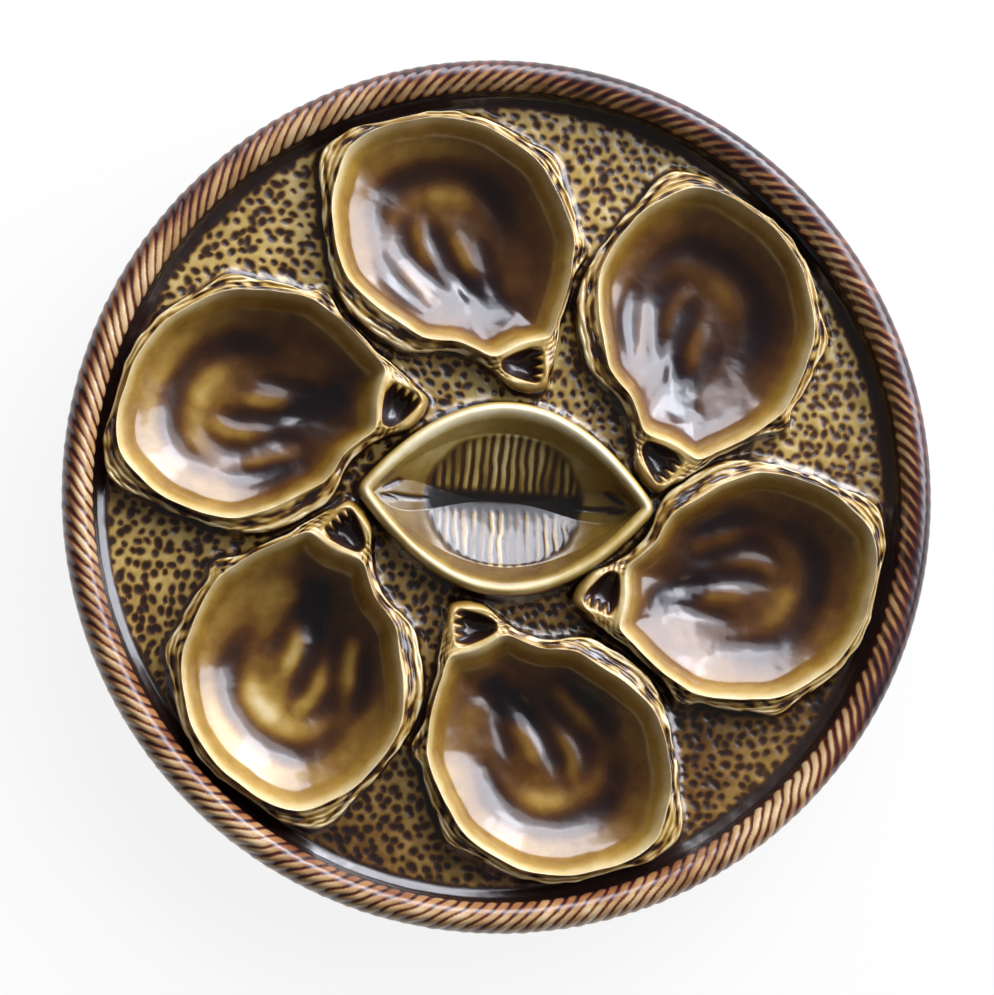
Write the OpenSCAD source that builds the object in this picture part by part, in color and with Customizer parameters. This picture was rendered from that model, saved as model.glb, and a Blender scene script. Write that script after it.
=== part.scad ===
// Oyster plate: six shell-shaped cups round a ribbed sauce well, on a pitted field inside a rope rim.
// Lengths are in millimetres. The foot stands on z = 0 and the plate is centred on the origin.

/* [Plate] */
// Depth of the pitted field below the crests of the shells
field_drop = 8.5; // [7.5:0.25:9]
// Thickness of the pitted field
field_t = 4.5; // [3.5:0.25:5.5]
// Gap between the shells and the foot of the cove
rim_gap = 2.5; // [0.3:0.1:8]
// Width of the smooth cove between the field and the rope
cove_w = 3; // [2.5:0.25:7]
// Rise of the cove from the field to the seat of the rope
cove_rise = 3.5; // [2:0.25:4]
// Thickness of the flange under the rope
flange_t = 4; // [3:0.25:5]
// How far the rope stands out past the flange that carries it
flange_set_back = 1.8; // [1:0.1:3]

/* [Rope rim] */
// Width of the rope across its strands
rope_w = 8.8; // [7:0.1:11]
// Height of the rope above its seat
rope_h = 7; // [5:0.25:9]
// Number of strands round the rim
rope_strands = 187; // [120:1:200]
// Depth of the groove between two strands
rope_groove = 0.4; // [0.3:0.1:1.4]
// Strands that one strand passes on its way from the outside to the inside
rope_lay = 3; // [1:0.25:3.5]

/* [Shells] */
// Length of an oyster shell on its drawing grid
shell_len = 80; // [66:0.5:95]
// Least gap between the outer lips of two neighbouring shells
shell_gap = 0.8; // [0.5:0.1:6]
// Depth of a cup from its crest to its floor
cup_depth = 14.4; // [12:0.1:17]
// Thickness of a cup's floor
cup_t = 4.6; // [4:0.1:6]
// Drop from the crest to the frilled outer lip
lip_drop = 2.6; // [2:0.1:3.2]
// How far the outer lip stands out over the field
lip_overhang = 2.2; // [1.5:0.1:2.6]
// Rise and fall of the crest round a shell
crest_wave = 0.5; // [0:0.1:0.9]
// Depth of the groove between the crest and the outer lip
frill_depth = 1.6; // [0.8:0.1:2.5]
// Depth of the hollow beside the hinge, below the crest
hinge_depth = 7.5; // [5:0.25:8]
// Height of the swirled ridge on the cup's floor
swirl_h = 1.2; // [0.4:0.1:1.8]

/* [Sauce well] */
// Gap between the well's lip and the hinge corners of the shells
well_gap = 3.3; // [3:0.1:8]
// Height of the well's lip above the crests of the shells
well_lip_rise = 0.5; // [0:0.1:2]
// How far the well lies to the right of the middle
well_x = 1; // [0.5:0.1:1.5]
// How far the well lies below the middle
well_y = 1.6; // [1.2:0.1:2]
// Width of the rounded lip of the well
well_lip_w = 5; // [4:0.25:6]
// How far the well's lip stands out over the field
well_overhang = 2; // [1.5:0.1:2.5]
// Width of the smooth wall from the lip down to the ribs
well_wall_w = 3.4; // [2.5:0.1:4]
// Width of the lip and the wall together at the two points of the well
well_tip_w = 4.5; // [3.5:0.25:6]
// Drop of the smooth wall, from the top of the lip to the ribbed slopes
well_wall_drop = 7.5; // [5:0.25:8.5]
// Depth of the valley along the middle of the well, from the top of the lip
well_depth = 14.9; // [12:0.1:16]
// Width of one rib with its groove
rib_pitch = 2.6; // [2.4:0.1:4]
// Height of a rib
rib_h = 0.5; // [0.2:0.1:1.2]

/* [Foot] */
// Height of the foot below the cups' flat undersides
foot_h = 5; // [4:0.1:7]
// Width of the foot ring
foot_w = 6; // [4:0.5:9]
// Rounding of the foot ring where it stands
foot_round = 1.5; // [0.5:0.25:1.9]

/* [Hidden] */
overrun = foot_h / 2;

glaze_pool = "#3a2a1c";
glaze_ochre = "#a3853d";
glaze_cream = "#c9b070";
glaze_rope = "#8a5a34";

// One square of the drawing grid that a shell is plotted on
grid_square_share = 1 / 80;
shell_grid = shell_len * grid_square_share;
// Reach of a shell towards its neighbours, towards the rim and to its hinge corner
shell_side_share = 0.9325;
shell_rim_share = 0.41;
shell_hinge_share = 0.56;
// Length of the well as a share of its width
well_length_share = 1.52;

// Heights above the table
cup_floor_z = foot_h + cup_t;
crest_z = cup_floor_z + cup_depth;
lip_z = crest_z - lip_drop;
field_z = crest_z - field_drop;
field_under_z = field_z - field_t;
seat_z = field_z + cove_rise;
well_lip_z = crest_z + well_lip_rise;
well_wall_z = well_lip_z - well_wall_drop;
well_valley_z = well_lip_z - well_depth;

// Radii, from the middle of the plate to the outside of the rope
shell_ring_r = shell_len * shell_side_share + shell_gap;
well_w = 2 * (shell_ring_r - shell_len * shell_hinge_share - well_gap);
well_len = well_w * well_length_share;
foot_r = shell_ring_r;
cove_r = shell_ring_r + shell_len * shell_rim_share + rim_gap;
rope_in_r = cove_r + cove_w;
plate_r = rope_in_r + rope_w;
flange_r = plate_r - flange_set_back;

// Outline of a shell in squares from its middle, counter-clockwise from the right:
// the crest's two places, the outer lip's two places, and the depth of the groove between
// them as a share from 0, a frill, to 1, the hollow beside the hinge
shell_outline_shares = [
    [33.3, 0, 35, 0.5, 0], [32.2, 4, 34.3, 5, 0], [30.3, 8.5, 33, 10, 0], [28, 13, 31, 14.5, 0],
    [25.5, 17.5, 29.6, 19.5, 0], [22.3, 21.5, 27.2, 23.2, 0], [18.3, 24.7, 22.2, 25.6, 0],
    [14, 27.5, 17, 28.6, 0], [9.5, 29.8, 12, 31.5, 0], [4.5, 31.3, 6.5, 33.4, 0], [-1, 32.3, 0.5, 34.6, 0],
    [-7, 32.3, -6.5, 34.5, 0], [-13, 31.3, -13.5, 32.8, 0], [-19, 29.8, -20, 31, 0],
    [-24.5, 27.5, -26.5, 29.8, 0], [-28.8, 24.3, -32, 27.2, 0], [-31.5, 20.5, -36.3, 23.5, 0.1],
    [-33, 16, -38, 19, 0.1], [-34.3, 11, -37.5, 12, 0], [-34.6, 6, -37, 6, 0], [-34.2, 1, -36.4, 0.5, 0],
    [-33.4, -4, -35.6, -4.6, 0], [-31.8, -9, -34.6, -9.8, 0], [-29.5, -13.5, -33.2, -15, 0],
    [-26.3, -17.3, -30.8, -20, 0.1], [-22.3, -20.7, -27.2, -24.3, 0.2], [-18, -23.7, -22.5, -28, 0.2],
    [-13.5, -26.8, -17.5, -30.8, 0.1], [-9.3, -29.3, -12.5, -33, 0], [-4.3, -30.2, -6, -33.2, 0],
    [0.8, -30.8, 0, -33.3, 0], [5.3, -32.5, 5, -34.8, 0], [9, -34.2, 8.8, -37, 0],
    [11.3, -34.4, 12.8, -40.5, 0.5], [14, -33.2, 16.8, -43.4, 1], [17.3, -31.6, 21.5, -44.8, 1],
    [20.8, -30.5, 25.2, -44.4, 1], [24.2, -29.8, 26.9, -41, 0.9], [26.6, -29, 27.6, -36.5, 0.5],
    [27.8, -27, 29, -30.5, 0.1], [28.9, -23.5, 30, -24.5, 0], [30.2, -19.5, 31.5, -19.5, 0],
    [31.6, -15, 33.2, -15, 0], [32.7, -10.5, 34.2, -10.5, 0], [33.4, -6, 36.8, -6.4, 0],
    [33.7, -3, 37.6, -3, 0]];
shell_points = len(shell_outline_shares);

// Place of each shell: its distance as a share of shell_ring_r, its direction and how far it is turned
shell_reach_shares = [0.985, 1.005, 1.021, 0.993, 0.998, 1.005];
shell_directions = [100.6, 160.6, 220.8, 279.5, 339.5, 40.6];
shell_turns = [0, 60.8, 131.6, 181.6, 243.9, 313.8];

// Cup inside the crest, from the wall down to the middle: share of the crest's reach, share of the
// way down from the crest to the floor, and share of swirl_h that the swirl adds there
cup_ring_shares = [[0.965, 0.14, 0], [0.92, 0.36, 0], [0.85, 0.55, 0], [0.75, 0.69, 0], [0.62, 0.83, 0],
    [0.47, 0.96, -0.3], [0.33, 1, 0.5], [0.19, 1, -0.3], [0.08, 1, 0.3]];

// Slopes of the rounded lip of the well: share of the lip's width in from the edge, share of its drop
well_lip_shares = [[0, 0.55], [0.12, 0.16], [0.4, 0], [0.7, 0.1], [1, 0.42]];
well_tilt = -3.4;
well_lip_drop = well_lip_z - seat_z;
well_a = well_len / 2;
well_b = well_w / 2;
well_cols = 2 * round(2 * (well_a - well_tip_w) / rib_pitch);
// Places of the ribbed slopes across the well, as shares of its half width
well_row_shares = [0.78, 0.5, 0.24, 0, -0.24, -0.5, -0.78];
// Share of the well's length over which the ribs run
rib_run_share = 0.57;

function mix(a, b, t) = a + (b - a) * t;
function crest(k) = [shell_outline_shares[k][0], shell_outline_shares[k][1]] * shell_grid;
function lip(k) = [shell_outline_shares[k][2], shell_outline_shares[k][3]] * shell_grid;
function inset(p, d) = p * (1 - d / norm(p));
function raise(p, z) = [p.x, p.y, z];
function crest_rise(k) = crest_wave * (sin(k * 360 * 5 / shell_points) + cos(k * 360 * 3 / shell_points)) / 2;
function groove_depth(k) = mix(frill_depth, hinge_depth, shell_outline_shares[k][4]);
function groove_z(k) = crest_z - max(groove_depth(k), crest_z - lip_z + frill_depth / 2);
function hinge_lift(k) = (crest_z - lip_z) * shell_outline_shares[k][4] * 0.7;
function ring(f) = [for (k = [0 : shell_points - 1]) f(k)];

// Level rings of a shell, from its flat underside up over the lip and the crest and down into the cup
shell_rings = concat(
    [ring(function(k) raise(crest(k) * 0.6, foot_h))],
    [ring(function(k) raise(crest(k) * 0.78, mix(foot_h, field_under_z, 0.3)))],
    [ring(function(k) raise(inset(lip(k), lip_overhang), field_under_z))],
    [ring(function(k) raise(inset(lip(k), lip_overhang), field_z))],
    [ring(function(k) raise(lip(k), mix(field_z, lip_z, 0.75)))],
    [ring(function(k) raise(mix(lip(k), crest(k), 0.12), lip_z + hinge_lift(k)))],
    [ring(function(k) raise(mix(lip(k), crest(k), 0.4), groove_z(k)))],
    [ring(function(k) raise(mix(lip(k), crest(k), 0.65), groove_z(k)))],
    [ring(function(k) raise(mix(lip(k), crest(k), 0.9), mix(crest_z, groove_z(k), 0.15) + crest_rise(k)))],
    [ring(function(k) raise(crest(k), crest_z + crest_rise(k)))],
    [for (s = cup_ring_shares) ring(function(k)
        raise(crest(k) * s[0], mix(crest_z, cup_floor_z, s[1]) + swirl_h * s[2] * sin(k * 180 / shell_points)))]);

function loft_points(rings) = [for (r = rings) each r];
// Walls between neighbouring rings of n points, and a fan over each end round one middle point
function loft_walls(count, n) = [for (r = [0 : count - 2], k = [0 : n - 1])
    each [[r * n + k, (r + 1) * n + k, (r + 1) * n + (k + 1) % n], [r * n + k, (r + 1) * n + (k + 1) % n,
        r * n + (k + 1) % n]]];
function fan(first, n, middle) = [for (k = [0 : n - 1]) [first + k, first + (k + 1) % n, middle]];
function flip(faces) = [for (f = faces) [f[2], f[1], f[0]]];

module shell_body() {
    n = shell_points;
    count = len(shell_rings);
    points = concat(loft_points(shell_rings), [[0, 0, foot_h], [0, 0, cup_floor_z]]);
    polyhedron(points, concat(loft_walls(count, n), fan(0, n, count * n),
        flip(fan((count - 1) * n, n, count * n + 1))), convexity = 6);
}

module place_shell(i) {
    rotate(shell_directions[i]) translate([shell_ring_r * shell_reach_shares[i], 0, 0])
        rotate(shell_turns[i] - shell_directions[i]) children();
}

module oyster_shell(i) {
    color(glaze_ochre) place_shell(i) shell_body();
}

// Outline of the opening that a shell is set in
module shell_seat() {
    polygon([for (k = [0 : shell_points - 1]) inset(lip(k), lip_overhang)]);
}

// Pointed oval of two arcs, as a point at the share s of its half length, on the upper or lower side
function lens(a, b, s, side) = [a * s, side * b * (1 - s * s)];
function lens_ring(a, b, z) = concat(
    [for (i = [0 : well_cols - 1]) raise(lens(a, b, 1 - 2 * i / well_cols, 1), z)],
    [for (i = [0 : well_cols - 1]) raise(lens(a, b, -1 + 2 * i / well_cols, -1), z)]);
function well_half_len(d) = well_a - well_tip_w * d / (well_lip_w + well_wall_w);
function lens_inset_ring(d, z) = lens_ring(well_half_len(d), well_b - d, z);

well_rings = concat(
    [lens_inset_ring(well_b * 0.5, mix(foot_h, field_under_z, 0.1))],
    [lens_inset_ring(well_b * 0.25, mix(foot_h, field_under_z, 0.35))],
    [lens_inset_ring(well_overhang, field_under_z)],
    [lens_inset_ring(well_overhang, field_z)],
    [for (s = well_lip_shares) lens_inset_ring(well_lip_w * s[0], well_lip_z - well_lip_drop * s[1])],
    [lens_inset_ring(well_lip_w + well_wall_w, well_wall_z)]);

function rib(i, f) = abs(1 - 2 * i / well_cols) < rib_run_share && f != 0 ? rib_h * ((i % 2) - 0.5) : 0;
function slope_z(s, f) = mix(well_valley_z, well_wall_z, max(pow(abs(f), 1.4), pow(abs(s), 3)));

// Ribbed slopes: one row of points for each share across the well, the two points of the oval left out
function slope_rows() = [for (f = well_row_shares, i = [1 : well_cols - 1])
    let (s = 1 - 2 * i / well_cols, d = well_lip_w + well_wall_w,
        p = lens(well_half_len(d), (well_b - d) * f, s, 1))
    [p.x, p.y, slope_z(s, f) + rib(i, f)]];

module well_body() {
    c = well_cols;
    n = 2 * c;
    count = len(well_rings);
    rows = len(well_row_shares);
    last = (count - 1) * n;
    first_row = count * n;
    // Number of the point in row j, counted from the upper edge of the slopes, and in column i
    at = function(j, i) i == 0 ? last : i == c ? last + c : j == 0 ? last + i :
        j == rows + 1 ? last + n - i : first_row + (j - 1) * (c - 1) + i - 1;
    cells = [for (j = [0 : rows], i = [0 : c - 1]) each
        [[at(j, i), at(j, i + 1), at(j + 1, i + 1)], [at(j, i), at(j + 1, i + 1), at(j + 1, i)]]];
    slopes = [for (f = cells) if (f[0] != f[1] && f[1] != f[2] && f[0] != f[2]) f];
    points = concat(loft_points(well_rings), slope_rows(), [[0, 0, well_rings[0][0].z]]);
    polyhedron(points, concat(loft_walls(count, n), fan(0, n, len(points) - 1), flip(slopes)), convexity = 6);
}

module place_well() {
    translate([well_x, -well_y, 0]) rotate(well_tilt) children();
}

module sauce_well() {
    color(glaze_cream) place_well() well_body();
}

// Field with its cove and the flange under the rope, open where the shells and the well are set in
module ground_plate() {
    cove = [for (q = [0 : 15 : 90]) [cove_r + cove_w * sin(q), seat_z - cove_rise * cos(q)]];
    color(glaze_pool) difference() {
        rotate_extrude($fn = 180) polygon(concat(
            [[0, field_under_z], [cove_r, field_under_z], [flange_r, seat_z - flange_t], [flange_r, seat_z]],
            [for (q = [len(cove) - 1 : -1 : 0]) cove[q]], [[0, field_z]]));
        for (i = [0 : len(shell_turns) - 1]) place_shell(i) translate([0, 0, field_under_z - overrun])
            linear_extrude(seat_z - field_under_z + 2 * overrun) shell_seat();
        place_well() translate([0, 0, field_under_z - overrun])
            linear_extrude(seat_z - field_under_z + 2 * overrun)
                polygon([for (p = lens_inset_ring(well_overhang, 0)) [p.x, p.y]]);
    }
}

// Bead of the rope from its outer to its inner foot; every second section lies in a groove, and each
// point across the bead is turned on by how far in it lies, which gives the strands a straight lay
rope_turns = [-16, 0, 30, 60, 90, 125, 160, 196];
function rope_point(j, deep) = let (half_w = rope_w / 2, q = rope_turns[j], low = sin(-rope_turns[0]),
    half_h = rope_h / (1 + low), d = j == 0 || j == len(rope_turns) - 1 ? 0 : deep * rope_groove)
    [plate_r - half_w + (half_w - d) * cos(q), seat_z + half_h * low + (half_h - d) * sin(q)];
function turn(p, a) = [p.x * cos(a), p.x * sin(a), p.y];

module rope_rim() {
    n = 2 * round(rope_strands);
    m = len(rope_turns);
    step = 360 / n;
    points = [for (i = [0 : n - 1], j = [0 : m - 1])
        turn(rope_point(j, i % 2), step * (i + rope_lay * (1 - cos(rope_turns[j]))))];
    color(glaze_rope) polyhedron(points, [for (i = [0 : n - 1], j = [0 : m - 1])
        let (a = i * m + j, b = i * m + (j + 1) % m, c = ((i + 1) % n) * m + (j + 1) % m, d = ((i + 1) % n) * m + j)
        each [[a, b, c], [a, c, d]]], convexity = 6);
}

// Ring that the plate stands on: it carries the cups' flat undersides, and between the cups the field
module foot_ring() {
    color(glaze_cream) difference() {
        rotate_extrude($fn = 120) translate([foot_r, 0]) polygon(concat(
            [[foot_w / 2, field_under_z], [-foot_w / 2, field_under_z]],
            [for (q = [180 : 15 : 270]) [-foot_w / 2 + foot_round + foot_round * cos(q),
                foot_round + foot_round * sin(q)]],
            [for (q = [270 : 15 : 360]) [foot_w / 2 - foot_round + foot_round * cos(q),
                foot_round + foot_round * sin(q)]]));
        for (i = [0 : len(shell_turns) - 1]) place_shell(i) translate([0, 0, foot_h])
            linear_extrude(field_under_z - foot_h + overrun) shell_seat();
    }
}

ground_plate();
rope_rim();
oyster_shell(0);  // oyster_shell_1
oyster_shell(1);  // oyster_shell_2
oyster_shell(2);  // oyster_shell_3
oyster_shell(3);  // oyster_shell_4
oyster_shell(4);  // oyster_shell_5
oyster_shell(5);  // oyster_shell_6
sauce_well();
foot_ring();
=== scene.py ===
import math

import bmesh
import bpy
import numpy as np
from mathutils import Matrix, Vector


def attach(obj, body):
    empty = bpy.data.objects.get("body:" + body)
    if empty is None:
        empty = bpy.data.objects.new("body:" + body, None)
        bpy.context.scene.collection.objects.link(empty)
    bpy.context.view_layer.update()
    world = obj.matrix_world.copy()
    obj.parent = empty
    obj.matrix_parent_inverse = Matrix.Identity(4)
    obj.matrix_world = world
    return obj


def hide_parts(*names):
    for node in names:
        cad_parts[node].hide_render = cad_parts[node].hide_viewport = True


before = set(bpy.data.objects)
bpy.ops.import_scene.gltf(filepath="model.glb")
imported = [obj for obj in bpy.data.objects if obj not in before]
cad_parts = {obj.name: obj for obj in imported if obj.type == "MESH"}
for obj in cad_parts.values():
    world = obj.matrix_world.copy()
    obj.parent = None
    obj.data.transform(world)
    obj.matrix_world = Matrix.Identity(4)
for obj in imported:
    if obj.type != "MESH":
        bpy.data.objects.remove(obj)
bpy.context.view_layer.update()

# Oyster shells. Six casts of one model shell in glazed earthenware: a deep cup with a frilled double edge
# and a small toothed hollow beside the hinge, luted into the ground of the plate. The glaze runs off the
# crests and pools in the hollows, so every point of a form also carries how thick its coat is there.
MM = 0.001

# Sizes in mm, with heights over the table. The flat rim beside the hinge lies at a share of the way up
# from the lip to the crest
foot_h = 5.0
cup_floor_z = 9.6
crest_z = 24.0
lip_z = 21.4
field_z = 15.5
field_under_z = 11.0
lip_overhang = 2.2
hinge_depth = 5.6
hinge_rim_level = 0.7

# Where the shells sit: shares of the ring's radius, directions from the middle and turns, in degrees
shell_ring_r = 75.4
shell_reach_shares = (0.985, 1.005, 1.021, 0.993, 0.998, 1.005)
shell_directions = (100.6, 160.6, 220.8, 279.5, 339.5, 40.6)
shell_turns = (0, 60.8, 131.6, 181.6, 243.9, 313.8)
shell_middles = []
for reach_share, degrees in zip(shell_reach_shares, shell_directions):
    reach, direction = shell_ring_r * reach_share, math.radians(degrees)
    shell_middles.append((reach * math.cos(direction), reach * math.sin(direction)))

# One row for each place round a shell, in mm from its middle: crest x and y, outer lip x and y, and the
# share of the hinge's hollow between them
shell_outline = np.array([
    [33.3, 0, 35, 0.5, 0], [32.2, 4, 34.3, 5, 0], [30.3, 8.5, 33, 10, 0], [28, 13, 31, 14.5, 0],
    [25.5, 17.5, 29.6, 19.5, 0], [22.3, 21.5, 27.2, 23.2, 0], [18.3, 24.7, 22.2, 25.6, 0],
    [14, 27.5, 17, 28.6, 0], [9.5, 29.8, 12, 31.5, 0], [4.5, 31.3, 6.5, 33.4, 0], [-1, 32.3, 0.5, 34.6, 0],
    [-7, 32.3, -6.5, 34.5, 0], [-13, 31.3, -13.5, 32.8, 0], [-19, 29.8, -20, 31, 0],
    [-24.5, 27.5, -26.5, 29.8, 0], [-28.8, 24.3, -32, 27.2, 0], [-31.5, 20.5, -36.3, 23.5, 0.1],
    [-33, 16, -38, 19, 0.1], [-34.3, 11, -37.5, 12, 0], [-34.6, 6, -37, 6, 0], [-34.2, 1, -36.4, 0.5, 0],
    [-33.4, -4, -35.6, -4.6, 0], [-31.8, -9, -34.6, -9.8, 0], [-29.5, -13.5, -33.2, -15, 0],
    [-26.3, -17.3, -30.8, -20, 0.1], [-22.3, -20.7, -27.2, -24.3, 0.2], [-18, -23.7, -22.5, -28, 0.2],
    [-13.5, -26.8, -17.5, -30.8, 0.1], [-9.3, -29.3, -12.5, -33, 0], [-4.3, -30.2, -6, -33.2, 0],
    [0.8, -30.8, 0, -33.3, 0], [5.3, -32.5, 5, -34.8, 0], [9, -34.2, 8.8, -37, 0],
    [11.3, -34.4, 12.8, -40.5, 0.5], [14, -33.2, 16.8, -43.4, 1], [17.3, -31.6, 21.5, -44.8, 1],
    [20.8, -30.5, 25.2, -44.4, 1], [24.2, -29.8, 26.9, -41, 0.9], [26.6, -29, 27.6, -36.5, 0.5],
    [27.8, -27, 29, -30.5, 0.1], [28.9, -23.5, 30, -24.5, 0], [30.2, -19.5, 31.5, -19.5, 0],
    [31.6, -15, 33.2, -15, 0], [32.7, -10.5, 34.2, -10.5, 0], [33.4, -6, 36.8, -6.4, 0],
    [33.7, -3, 37.6, -3, 0]])

# Relief on the floor of a cup, as tapered strokes of clay: points in mm, width, rise and change of glaze
floor_strokes = (
    (((-21.5, 0), (-20, 9), (-15, 15.5), (-5, 18.6), (4, 17.6), (11.5, 13), (16, 6), (17.5, -1)),
     4.0, -0.6, 0.24),
    (((-12.5, 5), (-13.2, -1), (-10, -7), (-4.5, -13), (2, -18)), 3.0, -0.4, 0.17),
    (((-4.8, 6), (-4.2, 0.5), (-1.2, -6), (3.5, -12.5), (9, -18)), 3.0, -0.7, 0.22),
    (((3.5, -9), (7, -14), (10.5, -18), (14, -21.5), (16.5, -24)), 4.2, -0.8, 0.34),
    (((-20.5, -4.5), (-18, -11), (-12.5, -16.5), (-7.5, -20.5)), 3.0, -0.45, 0.2),
    (((8, 1), (10.2, -5), (12.2, -12), (13, -16)), 2.2, -0.4, 0.14),
    (((1.2, 2.5), (3.0, -3), (5.0, -8), (6.3, -13)), 2.6, 0.42, -0.22),
    (((-14.5, -6.5), (-10.5, -11.5), (-6.8, -16), (-4, -20.5)), 3.0, 0.42, -0.26),
    (((-15.5, 1), (-14.5, 7.5), (-9.5, 12.2), (-2, 13.8), (5.5, 11.8), (9.5, 6)), 4.4, 0.4, -0.19),
    (((-8.6, 7.5), (-9.0, 1), (-7, -4.5), (-3.8, -9.5)), 3.0, 0.32, -0.18),
    (((-7.5, 8.5), (-1, 8.5), (5, 5)), 6.5, 0.1, -0.1),
    (((-25, 3), (-24.5, -7), (-19, -15)), 3.8, 0.25, -0.08),
    (((13.5, 1), (18, -8), (18.5, -18)), 4.2, 0.3, -0.08),
    (((-22, 17), (-12, 23.5), (2, 24), (14, 19)), 4.6, 0.25, -0.07))


def ease(low, high, x):
    """Rises smoothly from 0 at low to 1 at high."""
    t = np.clip((x - low) / (high - low), 0, 1)
    return t * t * (3 - 2 * t)


def noise(x, y, size, seed):
    """Smooth unevenness from -1 to 1, with bumps about size across."""
    cells = 97
    table = np.random.default_rng(seed).uniform(-1, 1, (cells, cells))
    column, row = np.floor(x / size).astype(int), np.floor(y / size).astype(int)
    across, up = ease(0, 1, x / size - column), ease(0, 1, y / size - row)
    left, right = column % cells, (column + 1) % cells
    low, high = row % cells, (row + 1) % cells
    below = table[left, low] * (1 - across) + table[right, low] * across
    above = table[left, high] * (1 - across) + table[right, high] * across
    return below * (1 - up) + above * up


def stroke(x, y, points, width):
    """1 along the middle of a stroke through the points, falling off past its width and at its ends."""
    steps_between = 5
    width_at_tip, width_gained = 0.45, 0.55
    edge_sharpness = 2.8
    points = curve_between(np.array(points, float), [steps_between] * (len(points) - 1), 1.0)
    nearest, done = np.full(np.shape(x), np.inf), np.zeros(np.shape(x))
    for k, ((ax, ay), (bx, by)) in enumerate(zip(points, points[1:])):
        run_x, run_y = bx - ax, by - ay
        along = np.clip(((x - ax) * run_x + (y - ay) * run_y) / (run_x**2 + run_y**2), 0, 1)
        gap = np.hypot(x - ax - along * run_x, y - ay - along * run_y)
        done = np.where(gap < nearest, (k + along) / (len(points) - 1), done)
        nearest = np.minimum(nearest, gap)
    taper = ease(-0.12, 0.3, done) * ease(1.12, 0.7, done)
    half_width = width * (width_at_tip + width_gained * taper)
    return taper * np.exp(-((nearest / half_width) ** edge_sharpness))


def curve_between(keys, counts, pull=0.8):
    """Points on a smooth curve through the keys, with counts[k] steps from key k to the next.

    The higher the pull, the rounder it passes each key."""
    keys = np.concatenate([keys[:1], keys, keys[-1:]])
    rows = []
    for k, count in enumerate(counts):
        a, b, c, d = keys[k:k + 4]
        for t in np.arange(count) / count:
            out, into = pull * (c - a) / 2, pull * (d - b) / 2
            rows.append((2 * t**3 - 3 * t**2 + 1) * b + (t**3 - 2 * t**2 + t) * out
                        + (3 * t**2 - 2 * t**3) * c + (t**3 - t**2) * into)
    rows.append(keys[-2])
    return np.array(rows)


def closed_curve(rows, steps):
    """The rows of a closed outline with steps places from each row to the next."""
    lead_in = 2
    looped = np.concatenate([rows[-lead_in:], rows, rows[:lead_in + 1]])
    smooth = curve_between(looped, [steps] * (len(looped) - 1), 1.0)
    return smooth[lead_in * steps:(lead_in + len(rows)) * steps]


def pressed_form(name, points, coat):
    """A closed form of clay from a grid sheet: points[ring, place] in mm, each ring closed on itself.

    The coat of glaze at each point is kept as the attribute glaze, which the material reads."""
    rings, places = coat.shape
    bm = bmesh.new()
    bmesh.ops.create_grid(bm, x_segments=places, y_segments=rings - 1, size=0.5)
    mesh = bpy.data.meshes.new(name)
    bm.to_mesh(mesh)
    bm.free()
    flat = np.empty(len(mesh.vertices) * 3)
    mesh.vertices.foreach_get("co", flat)
    flat = flat.reshape(-1, 3)
    span = flat.max(0) - flat.min(0)
    place = np.rint((flat[:, 0] - flat[:, 0].min()) / span[0] * places).astype(int) % places
    ring = np.rint((flat[:, 1] - flat[:, 1].min()) / span[1] * (rings - 1)).astype(int)
    mesh.vertices.foreach_set("co", (points[ring, place] * MM).ravel())
    thickness = mesh.attributes.new("glaze", "FLOAT", "POINT")
    thickness.data.foreach_set("value", coat[ring, place].astype(np.float32))
    bm = bmesh.new()
    bm.from_mesh(mesh)
    bmesh.ops.remove_doubles(bm, verts=bm.verts, dist=1e-6)
    bmesh.ops.dissolve_degenerate(bm, dist=1e-7, edges=bm.edges)
    bmesh.ops.recalc_face_normals(bm, faces=bm.faces)
    bm.to_mesh(mesh)
    bm.free()
    mesh.shade_smooth()
    piece = bpy.data.objects.new(name, mesh)
    bpy.context.scene.collection.objects.link(piece)
    return piece


def colour(code):
    """An sRGB hex colour as the linear colour that a shader takes."""
    parts = [int(code[k:k + 2], 16) / 255 for k in (1, 3, 5)]
    return tuple(p / 12.92 if p <= 0.04045 else ((p + 0.055) / 1.055) ** 2.4 for p in parts) + (1.0,)


def add_node(material, kind, links=(), settings=()):
    """Adds a node, sets its inputs and links them."""
    node = material.node_tree.nodes.new(kind)
    for key, value in settings:
        if isinstance(key, str) and hasattr(node, key):
            setattr(node, key, value)
        else:
            node.inputs[key].default_value = value
    for key, source in links:
        material.node_tree.links.new(source, node.inputs[key])
    return node


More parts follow.
